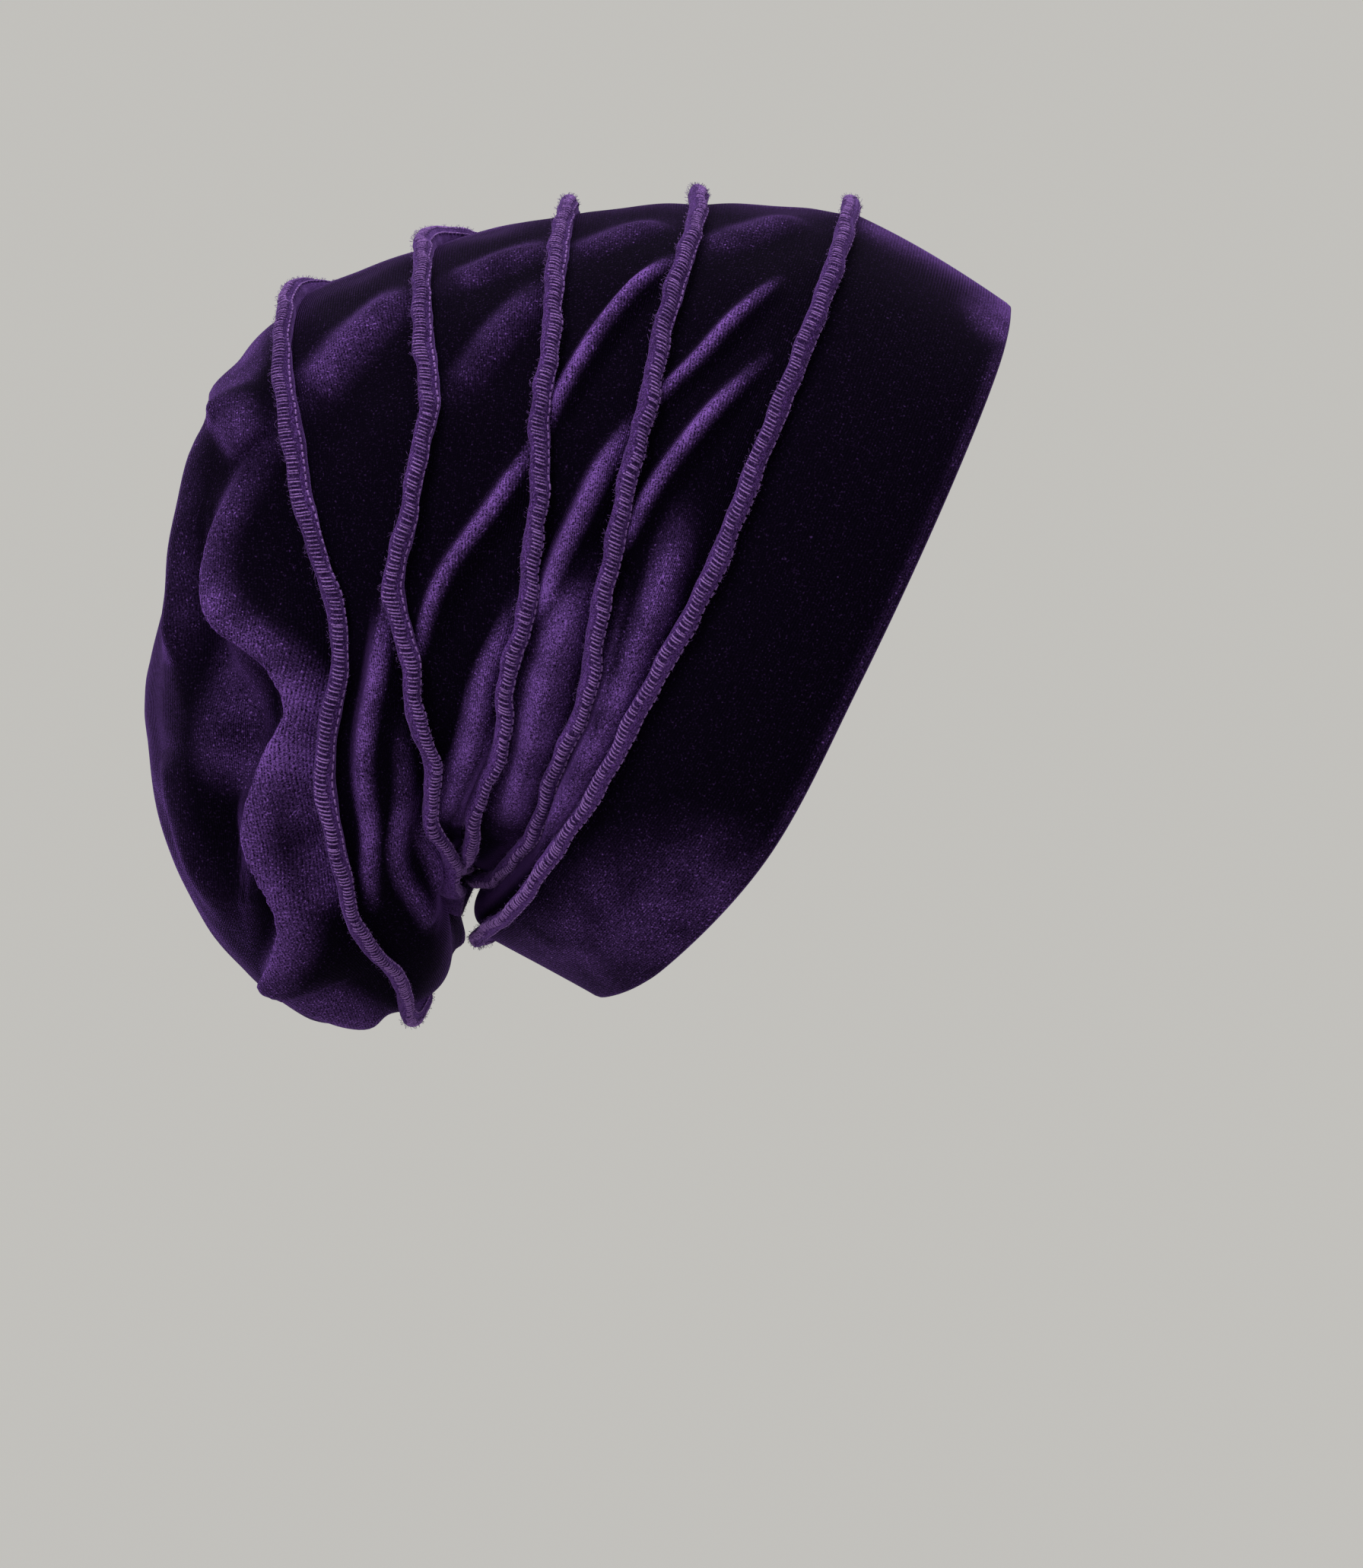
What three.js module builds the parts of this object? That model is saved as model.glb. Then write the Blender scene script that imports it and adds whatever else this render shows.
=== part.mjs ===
// A slouchy velvet beanie in the form it has when worn, in millimetres.
// +X points to the face, +Y to the wearer's left, +Z up; the origin is the middle of the head opening.
import * as THREE from "three";

// Cloth and seam sizes
const VELVET_WALL = 1.4;
const BAND_WALL = 2.6;
const SEAM_HEIGHT = 6;
const SEAM_HALF_THICKNESS = 2.9;
const NAPE_HALF_THICKNESS = 2.1;
const SEAM_SHOULDER = 3.8;
const SEAM_GAP = 0.4;
const SHOULDER_SWAY = 0.7;
const RIM_FOLD_SHARE = 0.45;

// Where the cloth is gathered towards the nape, as minus the cosine of the turn: 0 at the side, 1 at the nape
const SEAM_THINS = { from: 0.2, to: 0.8 };
const NAPE_SWELLS = { from: 0.75, to: 0.98 };

// How a fold fades: its share of full height at its ends, how fast it rises from there, and the share of the
// back panel over which the folds rise from its seam
const FOLD_END_SHARE = 0.3;
const FOLD_END_RISE = 5;
const BACK_EDGE_SHARE = 0.1;

// Mesh steps
const AROUND = 60;
const STRIP_STEPS = 5;
const BAND_STEPS = 3;
const BACK_STEPS = 9;
const FOLD_SAMPLES = 121;
const PROBE = 0.002;
const TENSION = 0.5;

// Places round a loop, every 30 degrees from the crown down the right side to the nape.
// depth: share of the half width; far: how much of the row's left-side shift applies there.
const PLACES = [
  { place: "crown", depth: 0, far: 0 },
  { place: "top", depth: 0.64, far: 1 },
  { place: "high", depth: 0.94, far: 0.8 },
  { place: "mid", depth: 1, far: 0.45 },
  { place: "low", depth: 0.88, far: 0.15 },
  { place: "bottom", depth: 0.55, far: 0 },
  { place: "nape", depth: 0, far: 0 },
];

// One row for each loop, as [x, z] on the right side; shift moves the left side, because the bag leans right.
const LOOPS = {
  rim: {
    halfWidth: 72, shift: [0, 0],
    crown: [57, 100], top: [50, 79], high: [33, 39], mid: [10, -10], low: [-14, -56], bottom: [-42, -86],
    nape: [-56, -98],
  },
  seam_1: {
    halfWidth: 75, shift: [0, 0],
    crown: [12, 126], top: [5, 104], high: [-10, 63], mid: [-31, 14], low: [-56, -33], bottom: [-79, -67],
    nape: [-92, -79],
  },
  seam_2: {
    halfWidth: 76, shift: [0, 0],
    crown: [-31, 129], top: [-34, 109], high: [-44, 71], mid: [-54, 25], low: [-64, -20], bottom: [-78, -53],
    nape: [-92, -64],
  },
  seam_3: {
    halfWidth: 75, shift: [4, 0],
    crown: [-68, 126], top: [-69, 107], high: [-72, 71], mid: [-75, 27], low: [-83, -15], bottom: [-95, -51],
    nape: [-101, -57],
  },
  seam_4: {
    halfWidth: 71, shift: [19, 17],
    crown: [-106, 118], top: [-107, 98], high: [-103, 64], mid: [-111, 19], low: [-106, -24],
    bottom: [-103, -57], nape: [-105, -70],
  },
  seam_5: {
    halfWidth: 65, shift: [23, 18],
    crown: [-143, 104], top: [-145, 83], high: [-138, 46], mid: [-128, -1], low: [-131, -50],
    bottom: [-121, -84], nape: [-114, -100],
  },
  back_1: {
    halfWidth: 60, shift: [15, 5],
    crown: [-165, 77], top: [-164, 64], high: [-160, 32], mid: [-155, -8], low: [-157, -52],
    bottom: [-149, -88], nape: [-144, -103],
  },
  back_2: {
    halfWidth: 44, shift: [5, 3],
    crown: [-178, 31], top: [-177, 25], high: [-176, 10], mid: [-176, -14], low: [-175, -42],
    bottom: [-174, -61], nape: [-176, -70],
  },
  back_tip: {
    halfWidth: 0, shift: [0, 0],
    crown: [-190, -17], top: [-190, -17], high: [-190, -17], mid: [-190, -17], low: [-190, -17],
    bottom: [-190, -17], nape: [-190, -17],
  },
};

// One row for each piece of cloth: how far it swells out between its seams at the crown, side and nape
const PANELS = [
  { name: "front_band", loops: ["rim", "seam_1"], steps: BAND_STEPS, crown: 1, side: 3, nape: 3 },
  { name: "panel_1", loops: ["seam_1", "seam_2"], steps: STRIP_STEPS, crown: 1, side: 1, nape: 4 },
  { name: "panel_2", loops: ["seam_2", "seam_3"], steps: STRIP_STEPS, crown: 1, side: 1, nape: -2 },
  { name: "panel_3", loops: ["seam_3", "seam_4"], steps: STRIP_STEPS, crown: 1, side: 0, nape: -2 },
  { name: "panel_4", loops: ["seam_4", "seam_5"], steps: STRIP_STEPS, crown: 1, side: 1, nape: 7 },
  {
    name: "back_panel", loops: ["seam_5", "back_1", "back_2", "back_tip"], steps: BACK_STEPS,
    crown: 0, side: 0, nape: 1,
  },
];

// One row for each fold, a crease where its height is negative.
// crest: points on its line as [degrees from the crown, share across the piece].
const FOLDS = [
  { panel: "panel_1", crest: [[55, 0.3], [75, 0.7], [90, 0.9]], height: 8, halfWidth: 9 },
  { panel: "panel_1", crest: [[40, 0.4], [55, 0.7], [65, 0.9]], height: 6, halfWidth: 8 },
  { panel: "panel_1", crest: [[15, 0.3], [30, 0.9]], height: 2, halfWidth: 8 },
  { panel: "panel_1", crest: [[85, 0.4], [110, 0.3], [135, 0.2]], height: 7, halfWidth: 10 },
  { panel: "panel_2", crest: [[30, 0.1], [50, 0.5], [70, 0.9]], height: 8, halfWidth: 9 },
  { panel: "panel_2", crest: [[70, 0.1], [85, 0.5], [105, 0.9]], height: 8, halfWidth: 9 },
  { panel: "panel_2", crest: [[100, 0.3], [115, 0.5], [140, 0.4]], height: 8, halfWidth: 11 },
  { panel: "panel_3", crest: [[40, 0.1], [55, 0.7]], height: 4, halfWidth: 9 },
  { panel: "panel_3", crest: [[75, 0.1], [85, 0.4], [105, 0.9]], height: 8, halfWidth: 9 },
  { panel: "panel_3", crest: [[105, 0.1], [120, 0.3], [140, 0.9]], height: 8, halfWidth: 9 },
  { panel: "panel_4", crest: [[30, 0.1], [45, 0.9]], height: 4, halfWidth: 11 },
  { panel: "panel_4", crest: [[95, 0.1], [110, 0.5], [140, 0.8]], height: 8, halfWidth: 9 },
  {
    panel: "back_panel", height: 9, halfWidth: 15,
    crest: [[45, 0.1], [60, 0.3], [70, 0.35], [80, 0.3], [90, 0.2], [100, 0.15], [120, 0.2], [135, 0.2]],
  },
  {
    panel: "back_panel", height: -8, halfWidth: 16,
    crest: [[50, 0.4], [65, 0.5], [85, 0.45], [100, 0.35], [115, 0.4], [135, 0.4]],
  },
  { panel: "back_panel", crest: [[30, 0.3], [50, 0.4]], height: 3, halfWidth: 11 },
  { panel: "back_panel", crest: [[140, 0.15], [150, 0.3], [160, 0.4]], height: 5, halfWidth: 13 },
];
// The left side has the same folds a little lower down and softer
const LEFT_FOLD_DROP = 7;
const LEFT_FOLD_SHARE = 0.85;

// One row for each seam: how its crest sways from side to side round the loop
const SEAMS = [
  { name: "seam_1", sway: 0.8, waves: 7, start: 0.4 },
  { name: "seam_2", sway: 1.0, waves: 8, start: 1.7 },
  { name: "seam_3", sway: 1.0, waves: 9, start: 2.9 },
  { name: "seam_4", sway: 1.2, waves: 8, start: 0.9 },
  { name: "seam_5", sway: 1.4, waves: 6, start: 2.2 },
];

const velvet = new THREE.MeshStandardMaterial({ color: 0x1b0f2b, roughness: 0.95, metalness: 0 });
const seamThread = new THREE.MeshStandardMaterial({ color: 0x4b2f70, roughness: 0.9, metalness: 0 });

function loopCurve(row) {
  const right = PLACES.map(({ place, depth }) => {
    const [x, z] = row[place];
    return new THREE.Vector3(x, -depth * row.halfWidth, z);
  });
  const left = PLACES.slice(1, -1).reverse().map(({ place, depth, far }) => {
    const [x, z] = row[place];
    return new THREE.Vector3(x + far * row.shift[0], depth * row.halfWidth, z + far * row.shift[1]);
  });
  return new THREE.CatmullRomCurve3([...right, ...left], true, "catmullrom", TENSION);
}

const curves = {};
for (const [name, row] of Object.entries(LOOPS)) {
  curves[name] = loopCurve(row);
}

function wrapped(turn) {
  return ((turn % 1) + 1) % 1;
}

function onLoop(name, turn) {
  return curves[name].getPoint(wrapped(turn));
}

const loopNames = Object.keys(LOOPS);
const seamNames = new Set(SEAMS.map((row) => row.name));
const TIP_OUT = new THREE.Vector3(-1, 0, 0);

// A loop's own directions: across it towards the back, and out of the cloth
function loopFrame(name, turn) {
  const middle = onLoop(name, turn);
  if (LOOPS[name].halfWidth === 0) {
    return { middle, across: TIP_OUT.clone(), out: TIP_OUT.clone() };
  }
  const k = loopNames.indexOf(name);
  const before = loopNames[Math.max(k - 1, 0)];
  const after = loopNames[k + 1];
  const along = onLoop(name, turn + PROBE).sub(onLoop(name, turn - PROBE)).normalize();
  const out = onLoop(after, turn).sub(onLoop(before, turn)).cross(along).normalize();
  const across = along.cross(out).normalize();
  return { middle, across, out };
}

// A seam is drawn thinner where the cloth is gathered at the nape
function seamHalf(turn) {
  const atNape = THREE.MathUtils.smoothstep(-Math.cos(2 * Math.PI * turn), SEAM_THINS.from, SEAM_THINS.to);
  return THREE.MathUtils.lerp(SEAM_HALF_THICKNESS, NAPE_HALF_THICKNESS, atNape);
}

// The edge of a piece beside a seam, moved off the seam's middle by half its thickness and a gap
function clothEdge(name, turn, direction) {
  const { middle, across } = loopFrame(name, turn);
  const offset = seamNames.has(name) ? seamHalf(turn) + SEAM_GAP : 0;
  return middle.addScaledVector(across, direction * offset);
}

function plainSurface(panel, turn, share) {
  const points = panel.loops.map((name, k) => clothEdge(name, turn, k === 0 ? 1 : -1));
  return new THREE.CatmullRomCurve3(points, false, "catmullrom", TENSION).getPoint(share);
}

// The way the cloth swells, turning evenly from one loop's outward direction to the next
function outward(panel, turn, share) {
  const spans = panel.loops.length - 1;
  const k = Math.min(Math.floor(share * spans), spans - 1);
  const first = loopFrame(panel.loops[k], turn).out;
  const second = loopFrame(panel.loops[k + 1], turn).out;
  return first.lerp(second, share * spans - k).normalize();
}

function swell(panel, turn) {
  const cosine = Math.cos(2 * Math.PI * turn);
  const atCrown = Math.max(cosine, 0) ** 2;
  const atNape = THREE.MathUtils.smoothstep(-cosine, NAPE_SWELLS.from, NAPE_SWELLS.to);
  return panel.side + atCrown * (panel.crown - panel.side) + atNape * (panel.nape - panel.side);
}

// Points along a fold's crest on the plain surface, on the right side and again on the left
function foldCrests(panel) {
  const crests = [];
  for (const fold of FOLDS.filter((row) => row.panel === panel.name)) {
    const path = new THREE.CatmullRomCurve3(
      fold.crest.map(([degrees, share]) => new THREE.Vector3(degrees, share, 0)),
    );
    for (const side of ["right", "left"]) {
      const points = path.getPoints(FOLD_SAMPLES - 1).map((at) => {
        const turn = side === "right" ? at.x / 360 : 1 - (at.x + LEFT_FOLD_DROP) / 360;
        return plainSurface(panel, turn, at.y);
      });
      const height = side === "right" ? fold.height : fold.height * LEFT_FOLD_SHARE;
      crests.push({ points, height, halfWidth: fold.halfWidth });
    }
  }
  return crests;
}

// A fold's height at a point: full on its crest, fading to its sides and to both ends
function foldHeight({ points, height, halfWidth }, at) {
  let nearest = Infinity;
  let where = 0;
  points.forEach((point, k) => {
    const distance = point.distanceTo(at);
    if (distance < nearest) {
      nearest = distance;
      where = k / (points.length - 1);
    }
  });
  const beside = Math.max(1 - nearest / halfWidth, 0);
  const lengthwise = Math.min(1, FOLD_END_SHARE + FOLD_END_RISE * Math.min(where, 1 - where));
  return height * beside * beside * (3 - 2 * beside) * lengthwise;
}

function clothPoint(panel, crests, turn, share) {
  const at = plainSurface(panel, turn, share);
  const held = Math.sqrt(Math.max(4 * share * (1 - share), 0));
  const closed = panel.name === "back_panel" ? Math.min(1, share / BACK_EDGE_SHARE) : held;
  const folds = crests.reduce((sum, crest) => sum + foldHeight(crest, at), 0);
  const out = swell(panel, turn) * held * held + folds * closed;
  return at.addScaledVector(outward(panel, turn, share), out);
}

function gridNormals(panel, grid) {
  const last = panel.steps;
  return grid.map((line, i) => line.map((at, j) => {
    if (j === 0 || j === last) {
      return outward(panel, i / AROUND, j / last);
    }
    const across = line[j + 1].clone().sub(line[j - 1]);
    const round = grid[(i + 1) % AROUND][j].clone().sub(grid[(i + AROUND - 1) % AROUND][j]);
    return across.cross(round).normalize();
  }));
}

class Solid {
  constructor() {
    this.places = [];
    this.corners = [];
  }

  point(at) {
    this.places.push(at.x, at.y, at.z);
    return this.places.length / 3 - 1;
  }

  quad(a, b, c, d) {
    this.corners.push(a, b, c, a, c, d);
  }

  triangle(a, b, c) {
    this.corners.push(a, b, c);
  }

  // Joins two rings of the same number of points
  band(first, second) {
    first.forEach((a, i) => {
      const next = (i + 1) % first.length;
      this.quad(a, second[i], second[next], first[next]);
    });
  }

  mesh(name, material) {
    const geometry = new THREE.BufferGeometry();
    geometry.setAttribute("position", new THREE.Float32BufferAttribute(this.places, 3));
    geometry.setIndex(this.corners);
    geometry.computeVertexNormals();
    const mesh = new THREE.Mesh(geometry, material);
    mesh.name = name;
    return mesh;
  }
}

// A piece of cloth as a closed solid: an outer face, an inner face and the edges between them
function clothPiece(panel) {
  const crests = foldCrests(panel);
  const wall = panel.name === "front_band" ? BAND_WALL : VELVET_WALL;
  const closedTip = panel.name === "back_panel";
  const grid = Array.from({ length: AROUND }, (_, i) => Array.from({ length: panel.steps + 1 }, (_, j) => (
    clothPoint(panel, crests, i / AROUND, j / panel.steps)
  )));
  const normals = gridNormals(panel, grid);
  const solid = new Solid();
  const ring = (j, offset) => grid.map((line, i) => (
    solid.point(line[j].clone().addScaledVector(normals[i][j], offset))
  ));
  const rings = panel.steps + (closedTip ? 0 : 1);
  const outer = Array.from({ length: rings }, (_, j) => ring(j, wall / 2));
  const inner = Array.from({ length: rings }, (_, j) => ring(j, -wall / 2));
  for (let j = 0; j + 1 < rings; j += 1) {
    solid.band(outer[j], outer[j + 1]);
    solid.band(inner[j + 1], inner[j]);
  }
  if (panel.name === "front_band") {
    const fold = grid.map((line) => {
      const forward = line[0].clone().sub(line[1]).normalize();
      return solid.point(line[0].clone().addScaledVector(forward, wall * RIM_FOLD_SHARE));
    });
    solid.band(inner[0], fold);
    solid.band(fold, outer[0]);
  } else {
    solid.band(inner[0], outer[0]);
  }
  if (closedTip) {
    const tip = grid[0][panel.steps];
    const outerTip = solid.point(tip.clone().addScaledVector(TIP_OUT, wall / 2));
    const innerTip = solid.point(tip.clone().addScaledVector(TIP_OUT, -wall / 2));
    for (let i = 0; i < AROUND; i += 1) {
      const next = (i + 1) % AROUND;
      solid.triangle(outer[rings - 1][next], outer[rings - 1][i], outerTip);
      solid.triangle(inner[rings - 1][i], inner[rings - 1][next], innerTip);
    }
  } else {
    solid.band(outer[rings - 1], inner[rings - 1]);
  }
  return solid.mesh(panel.name, velvet);
}

// A raised seam: a closed ridge with a rounded top between two pieces of cloth
function seamRidge(row) {
  const solid = new Solid();
  const frames = Array.from({ length: AROUND }, (_, i) => ({
    ...loopFrame(row.name, i / AROUND),
    half: seamHalf(i / AROUND),
    lean: row.sway * Math.sin(2 * Math.PI * row.waves * (i / AROUND) + row.start),
  }));
  const corner = (side, height, sway) => frames.map(({ middle, across, out, half, lean }) => solid.point(
    middle.clone().addScaledVector(across, side * half + sway * lean).addScaledVector(out, height),
  ));
  const frontFoot = corner(-1, -VELVET_WALL / 2, 0);
  const frontShoulder = corner(-1, SEAM_SHOULDER, SHOULDER_SWAY);
  const crest = corner(0, SEAM_HEIGHT, 1);
  const backShoulder = corner(1, SEAM_SHOULDER, SHOULDER_SWAY);
  const backFoot = corner(1, -VELVET_WALL / 2, 0);
  const section = [frontFoot, frontShoulder, crest, backShoulder, backFoot];
  section.forEach((line, k) => solid.band(line, section[(k + 1) % section.length]));
  return solid.mesh(row.name, seamThread);
}

const beanie = new THREE.Group();
beanie.name = "slouchy_beanie";
for (const panel of PANELS) {
  beanie.add(clothPiece(panel));
}
for (const row of SEAMS) {
  beanie.add(seamRidge(row));
}

export default beanie;
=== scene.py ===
import math
from collections import namedtuple
from functools import partial

import bmesh
import bpy
import numpy as np
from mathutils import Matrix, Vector, noise


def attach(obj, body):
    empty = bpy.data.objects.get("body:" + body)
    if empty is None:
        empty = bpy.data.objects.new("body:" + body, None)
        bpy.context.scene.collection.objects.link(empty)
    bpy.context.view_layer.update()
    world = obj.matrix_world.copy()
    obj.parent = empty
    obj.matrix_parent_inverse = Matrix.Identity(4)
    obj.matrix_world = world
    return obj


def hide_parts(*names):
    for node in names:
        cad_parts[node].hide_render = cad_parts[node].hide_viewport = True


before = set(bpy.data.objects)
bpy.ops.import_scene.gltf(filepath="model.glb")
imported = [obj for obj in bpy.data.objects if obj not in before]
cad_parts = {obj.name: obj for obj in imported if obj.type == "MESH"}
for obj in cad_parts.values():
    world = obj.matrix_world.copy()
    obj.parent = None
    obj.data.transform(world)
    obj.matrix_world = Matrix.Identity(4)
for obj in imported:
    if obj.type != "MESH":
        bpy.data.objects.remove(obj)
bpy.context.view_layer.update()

# Sizes are in millimetres, as in the part; MM turns them into metres
MM = 0.001
VELVET_WALL = 1.2
BAND_LAYER = 1.1
BAND_HALF_FOLD = 1.0
BACK_REACH = 110
EDGE_OFFSET = 1.6
RIB_PITCH = 0.85
WELD_DISTANCE = 0.001

# Shares of a sheet: the part of the band that turns at its front fold, and the edge of the back that is held
BAND_FOLD_SHARE = 0.06
BACK_EDGE_SHARE = 0.1

# A step along a loop for its direction, in turns, how many points measure its length, and next to nothing
PROBE = 0.002
LENGTH_SAMPLES = 400
TINY = 1e-9

# Where the cloth is gathered towards the nape, as minus the cosine of the turn: 0 at the side, 1 at the nape
SEAM_THINS = (0.2, 0.8)
NAPE_SWELLS = (0.75, 0.98)

# Places round a loop every 30 degrees, from the crown down the right side to the nape.
# depth: share of the half width; far: how much of the loop's left-side shift applies there
Place = namedtuple("Place", "name depth far")
PLACES = [
    Place("crown", 0, 0),
    Place("top", 0.64, 1),
    Place("high", 0.94, 0.8),
    Place("mid", 1, 0.45),
    Place("low", 0.88, 0.15),
    Place("bottom", 0.55, 0),
    Place("nape", 0, 0),
]

# Loops as (x, z) on the right side at each place; shift moves the left side
LOOPS = {
    "rim": dict(half_width=72, shift=(0, 0), at=[
        (57, 100), (50, 79), (33, 39), (10, -10), (-14, -56), (-43, -88), (-60, -97)]),
    "seam_1": dict(half_width=75, shift=(0, 0), at=[
        (12, 126), (5, 104), (-10, 63), (-31, 14), (-56, -33), (-79, -67), (-92, -79)]),
    "seam_2": dict(half_width=76, shift=(0, 0), at=[
        (-31, 129), (-34, 109), (-44, 71), (-54, 25), (-64, -20), (-78, -53), (-92, -64)]),
    "seam_3": dict(half_width=75, shift=(4, 0), at=[
        (-68, 126), (-69, 107), (-72, 71), (-75, 27), (-83, -15), (-95, -51), (-101, -57)]),
    "seam_4": dict(half_width=71, shift=(19, 17), at=[
        (-106, 118), (-107, 98), (-103, 64), (-111, 19), (-106, -24), (-103, -57), (-105, -70)]),
    "seam_5": dict(half_width=65, shift=(23, 18), at=[
        (-143, 104), (-145, 83), (-138, 46), (-128, -1), (-131, -50), (-121, -84), (-114, -100)]),
    "back_1": dict(half_width=60, shift=(15, 5), at=[
        (-165, 77), (-164, 64), (-160, 32), (-155, -8), (-157, -52), (-149, -88), (-144, -103)]),
    "back_2": dict(half_width=44, shift=(5, 3), at=[
        (-178, 31), (-177, 25), (-176, 10), (-176, -14), (-175, -42), (-174, -61), (-176, -70)]),
    "back_tip": dict(half_width=0, shift=(0, 0), at=[(-190, -17)] * len(PLACES)),
}
LOOP_NAMES = list(LOOPS)

# Pieces of cloth: loops, how far each swells at the crown, side and nape, its width and length as cut,
# the cut's area in square metres (a strip tapers from crown to nape, the back is an oval), and mesh steps
PANELS = {
    "front_band": dict(loops=["rim", "seam_1"], swell=(1, 3, 0), cut=(104, 590), area=0.061, steps=(56, 300)),
    "panel_1": dict(loops=["seam_1", "seam_2"], swell=(1, 1, 4), cut=(42, 590), area=0.017, steps=(40, 480)),
    "panel_2": dict(loops=["seam_2", "seam_3"], swell=(1, 1, 1), cut=(40, 570), area=0.015, steps=(40, 480)),
    "panel_3": dict(loops=["seam_3", "seam_4"], swell=(1, 0, -2), cut=(40, 560), area=0.015, steps=(40, 480)),
    "panel_4": dict(loops=["seam_4", "seam_5"], swell=(1, 1, 7), cut=(42, 560), area=0.017, steps=(40, 480)),
    "back_panel": dict(loops=["seam_5", "back_1", "back_2", "back_tip"], swell=(0, 0, 1),
                       cut=(220, 250), area=0.043, steps=(72, 380)),
}

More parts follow.
